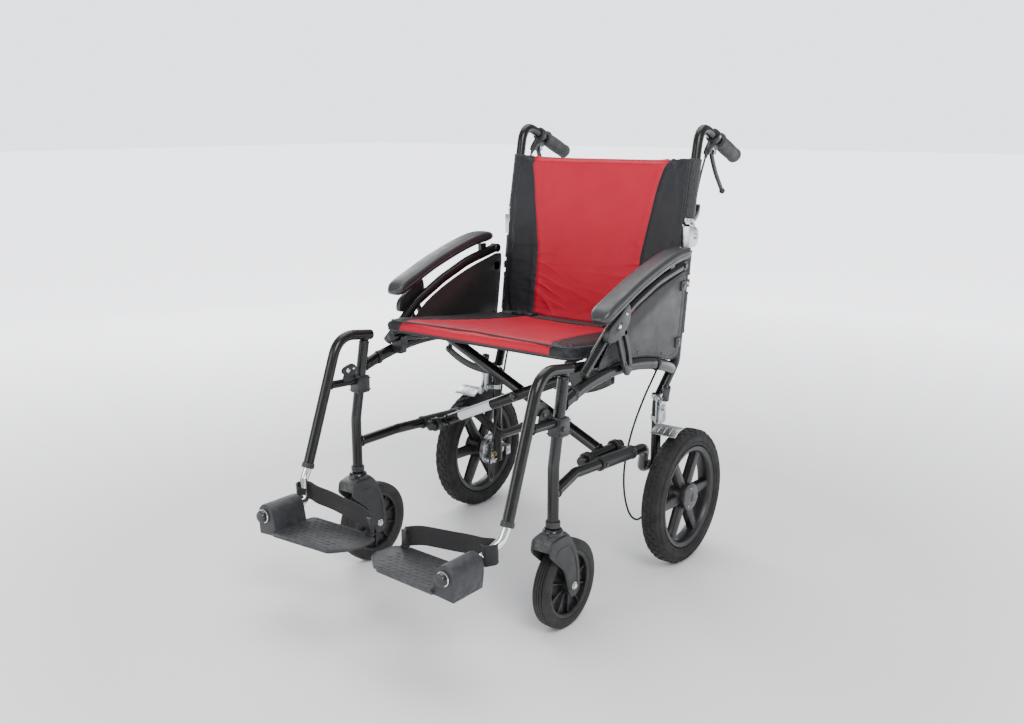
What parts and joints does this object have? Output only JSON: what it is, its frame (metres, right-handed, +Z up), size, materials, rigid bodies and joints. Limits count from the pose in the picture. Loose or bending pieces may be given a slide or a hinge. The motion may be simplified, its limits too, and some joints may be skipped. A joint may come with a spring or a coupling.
{
  "type": "manual wheelchair",
  "caption": "Folding attendant wheelchair: cross-braced tube frame, flip-up armrests, swing-away footrests, half-folding back, castors, spoked rear wheels and hub brakes.",
  "frame": {"origin": "centre of the bounding box on the floor, z = 0 under the wheels", "axes": "the chair faces -Y, the user's left side is +X, +Z up"},
  "size_m": [0.639, 1.0456, 0.9497],
  "materials": {
    "frame_paint": "satin black powder coat",
    "black_plastic": "moulded black plastic",
    "plate_plastic": "dark grey ribbed plastic",
    "panel_plastic": "fine-grained black plastic",
    "pad_foam": "satin self-skinned foam",
    "zinc": "zinc plated",
    "polished_tube": "polished",
    "tyre_rubber": "grey-black block tread",
    "castor_rubber": "solid ribbed rubber on a black plastic hub",
    "hub_plastic": "moulded black, low gloss",
    "grip_rubber": "dark grey ribbed",
    "red_nylon": "red woven nylon with charcoal side panels",
    "black_webbing": "black woven webbing",
    "cable_sheath": "black sheath"
  },
  "bodies": {
    "side_right": {"front_post_right": "frame_paint", "rear_post_right": "frame_paint", "seat_side_rail_right": "frame_paint", "lower_rail_right": "frame_paint", "side_panel_right": "panel_plastic", "hub_brake_right": "zinc", "parking_brake_bracket_right": "zinc", "brake_cable_right": "cable_sheath", "back_upholstery": "red_nylon", "lap_belt": "black_webbing"},
    "side_left": {"front_post_left": "frame_paint", "rear_post_left": "frame_paint", "seat_side_rail_left": "frame_paint", "lower_rail_left": "frame_paint", "side_panel_left": "panel_plastic", "hub_brake_left": "zinc", "parking_brake_bracket_left": "zinc", "brake_cable_left": "cable_sheath"},
    "brace_a": {"brace_a": "frame_paint", "brace_bolt": "zinc", "seat_cushion": "red_nylon"},
    "brace_b": {"brace_b": "frame_paint"},
    "back_left": {"push_handle_left": "frame_paint", "grip_left": "grip_rubber", "brake_perch_left": "black_plastic"},
    "brake_lever_left": {"brake_lever_left": "black_plastic"},
    "castor_fork_left": {"castor_fork_left": "black_plastic"},
    "castor_wheel_left": {"castor_wheel_left": "castor_rubber"},
    "rear_wheel_left": {"rear_wheel_left": "hub_plastic", "rear_tyre_left": "tyre_rubber"},
    "parking_brake_left": {"parking_brake_lever_left": "zinc"},
    "armrest_left": {"armrest_tube_left": "frame_paint", "armrest_pad_left": "pad_foam", "armrest_latch_left": "black_plastic"},
    "hanger_left": {"hanger_left": "frame_paint"},
    "hanger_catch_left": {"hanger_catch_left": "black_plastic"},
    "footrest_left": {"footrest_tube_left": "polished_tube", "heel_strap_left": "black_webbing"},
    "footplate_pivot_left": {"footplate_pivot_left": "polished_tube"},
    "footplate_left": {"footplate_left": "plate_plastic"},
    "fold_link_left": {"fold_link_left": "black_plastic"},
    "back_right": {"push_handle_right": "frame_paint", "grip_right": "grip_rubber", "brake_perch_right": "black_plastic"},
    "brake_lever_right": {"brake_lever_right": "black_plastic"},
    "castor_fork_right": {"castor_fork_right": "black_plastic"},
    "castor_wheel_right": {"castor_wheel_right": "castor_rubber"},
    "rear_wheel_right": {"rear_wheel_right": "hub_plastic", "rear_tyre_right": "tyre_rubber"},
    "parking_brake_right": {"parking_brake_lever_right": "zinc"},
    "armrest_right": {"armrest_tube_right": "frame_paint", "armrest_pad_right": "pad_foam", "armrest_latch_right": "black_plastic"},
    "hanger_right": {"hanger_right": "frame_paint"},
    "hanger_catch_right": {"hanger_catch_right": "black_plastic"},
    "footrest_right": {"footrest_tube_right": "polished_tube", "heel_strap_right": "black_webbing"},
    "footplate_pivot_right": {"footplate_pivot_right": "polished_tube"},
    "footplate_right": {"footplate_right": "plate_plastic"},
    "fold_link_right": {"fold_link_right": "black_plastic"}
  },
  "joints": [
    {"name": "fold", "type": "hinge", "parent": "side_right", "child": "brace_a", "pos_m": [-0.205, 0, 0.285], "axis": [0, -1, 0], "range_deg": [0, 50], "deforming": ["seat_cushion", "back_upholstery", "lap_belt"]},
    {"name": "brace_scissor", "type": "hinge", "parent": "brace_a", "child": "brace_b", "pos_m": [0, 0, 0.37922], "axis": [0, -1, 0], "range_deg": [-100.5, 0.5]},
    {"name": "side_left_pivot", "type": "hinge", "parent": "brace_b", "child": "side_left", "pos_m": [0.205, 0, 0.285], "axis": [0, -1, 0], "range_deg": [-0.5, 50.5]},
    {"name": "fold_link_left_pivot", "type": "hinge", "parent": "side_left", "child": "fold_link_left", "pos_m": [0.228, 0, 0.4445], "axis": [0, 1, 0], "range_deg": [-0.5, 78.5]},
    {"name": "footplate_left_lift", "type": "hinge", "parent": "footrest_left", "child": "footplate_pivot_left", "pos_m": [0.2315, -0.46, 0.208], "axis": [0, 1, 0], "range_deg": [-0.5, 113], "deforming": ["heel_strap_left"]},
    {"name": "footplate_left_flip", "type": "hinge", "parent": "footplate_pivot_left", "child": "footplate_left", "pos_m": [0.2315, -0.46, 0.208], "axis": [0, -1, 0], "range_deg": [-95, 0]},
    {"name": "back_fold_left", "type": "hinge", "parent": "side_left", "child": "back_left", "pos_m": [0.2385, 0.313, 0.712], "axis": [-1, 0, 0], "range_deg": [-0.5, 115.5]},
    {"name": "castor_left_swivel", "type": "hinge", "parent": "side_left", "child": "castor_fork_left", "pos_m": [0.2595, -0.2305, 0.2], "axis": [0, 0, 1], "continuous": true},
    {"name": "castor_left_spin", "type": "hinge", "parent": "castor_fork_left", "child": "castor_wheel_left", "pos_m": [0.2595, -0.1905, 0.0885], "axis": [1, 0, 0], "continuous": true},
    {"name": "rear_wheel_left_spin", "type": "hinge", "parent": "side_left", "child": "rear_wheel_left", "pos_m": [0.2905, 0.2235, 0.1505], "axis": [1, 0, 0], "continuous": true},
    {"name": "hanger_left_swing", "type": "hinge", "parent": "side_left", "child": "hanger_left", "pos_m": [0.25874, -0.20702, 0.46], "axis": [-0.006, 0.1846, 0.9828], "range_deg": [0, 90]},
    {"name": "hanger_left_catch", "type": "hinge", "parent": "hanger_left", "child": "hanger_catch_left", "pos_m": [0.2485, -0.262, 0.446], "axis": [1, 0, 0], "range_deg": [0, 15], "stiffness_Nm_per_rad": 0.05, "springref_deg": -17.19},
    {"name": "footrest_left_slide", "type": "slide", "parent": "hanger_left", "child": "footrest_left", "axis": [0.0036, -0.3505, -0.9365], "range_m": [0, 0.05]},
    {"name": "armrest_left_lift", "type": "hinge", "parent": "side_left", "child": "armrest_left", "pos_m": [0.2555, 0.247, 0.6565], "axis": [-1, 0, 0], "range_deg": [0, 70]},
    {"name": "parking_brake_left_turn", "type": "hinge", "parent": "side_left", "child": "parking_brake_left", "pos_m": [0.248, 0.197, 0.35], "axis": [1, 0, 0], "range_deg": [0, 18]},
    {"name": "brake_lever_left_squeeze", "type": "hinge", "parent": "back_left", "child": "brake_lever_left", "pos_m": [0.237, 0.401, 0.889], "axis": [1, 0, 0], "range_deg": [0, 18], "stiffness_Nm_per_rad": 0.5, "springref_deg": -22.92},
    {"name": "fold_link_right_pivot", "type": "hinge", "parent": "side_right", "child": "fold_link_right", "pos_m": [-0.228, 0, 0.4445], "axis": [0, -1, 0], "range_deg": [-0.5, 78.5]},
    {"name": "footplate_right_lift", "type": "hinge", "parent": "footrest_right", "child": "footplate_pivot_right", "pos_m": [-0.2315, -0.46, 0.208], "axis": [0, -1, 0], "range_deg": [-0.5, 113], "deforming": ["heel_strap_right"]},
    {"name": "footplate_right_flip", "type": "hinge", "parent": "footplate_pivot_right", "child": "footplate_right", "pos_m": [-0.2315, -0.46, 0.208], "axis": [0, 1, 0], "range_deg": [-95, 0]},
    {"name": "back_fold_right", "type": "hinge", "parent": "side_right", "child": "back_right", "pos_m": [-0.2385, 0.313, 0.712], "axis": [-1, 0, 0], "range_deg": [0, 115], "deforming": ["back_upholstery", "brake_cable_left", "brake_cable_right"]},
    {"name": "castor_right_swivel", "type": "hinge", "parent": "side_right", "child": "castor_fork_right", "pos_m": [-0.2595, -0.2305, 0.2], "axis": [0, 0, 1], "continuous": true},
    {"name": "castor_right_spin", "type": "hinge", "parent": "castor_fork_right", "child": "castor_wheel_right", "pos_m": [-0.2595, -0.1905, 0.0885], "axis": [1, 0, 0], "continuous": true},
    {"name": "rear_wheel_right_spin", "type": "hinge", "parent": "side_right", "child": "rear_wheel_right", "pos_m": [-0.2905, 0.2235, 0.1505], "axis": [1, 0, 0], "continuous": true},
    {"name": "hanger_right_swing", "type": "hinge", "parent": "side_right", "child": "hanger_right", "pos_m": [-0.25874, -0.20702, 0.46], "axis": [-0.006, -0.1846, -0.9828], "range_deg": [0, 90]},
    {"name": "hanger_right_catch", "type": "hinge", "parent": "hanger_right", "child": "hanger_catch_right", "pos_m": [-0.2485, -0.262, 0.446], "axis": [1, 0, 0], "range_deg": [0, 15], "stiffness_Nm_per_rad": 0.05, "springref_deg": -17.19},
    {"name": "footrest_right_slide", "type": "slide", "parent": "hanger_right", "child": "footrest_right", "axis": [-0.0036, -0.3505, -0.9365], "range_m": [0, 0.05]},
    {"name": "armrest_right_lift", "type": "hinge", "parent": "side_right", "child": "armrest_right", "pos_m": [-0.2555, 0.247, 0.6565], "axis": [-1, 0, 0], "range_deg": [0, 70]},
    {"name": "parking_brake_right_turn", "type": "hinge", "parent": "side_right", "child": "parking_brake_right", "pos_m": [-0.248, 0.197, 0.35], "axis": [1, 0, 0], "range_deg": [0, 18]},
    {"name": "brake_lever_right_squeeze", "type": "hinge", "parent": "back_right", "child": "brake_lever_right", "pos_m": [-0.237, 0.401, 0.889], "axis": [1, 0, 0], "range_deg": [0, 18], "stiffness_Nm_per_rad": 0.5, "springref_deg": -22.92}
  ],
  "couplings": [
    {"joint": "brace_scissor", "follows": "fold", "ratio": -2},
    {"joint": "side_left_pivot", "follows": "fold", "ratio": 1},
    {"joint": "fold_link_left_pivot", "follows": "fold", "ratio": 1.56},
    {"joint": "footplate_left_lift", "follows": "fold", "ratio": 2.25},
    {"joint": "fold_link_right_pivot", "follows": "fold", "ratio": 1.56},
    {"joint": "footplate_right_lift", "follows": "fold", "ratio": 2.25},
    {"joint": "back_fold_left", "follows": "back_fold_right", "ratio": 1}
  ]
}
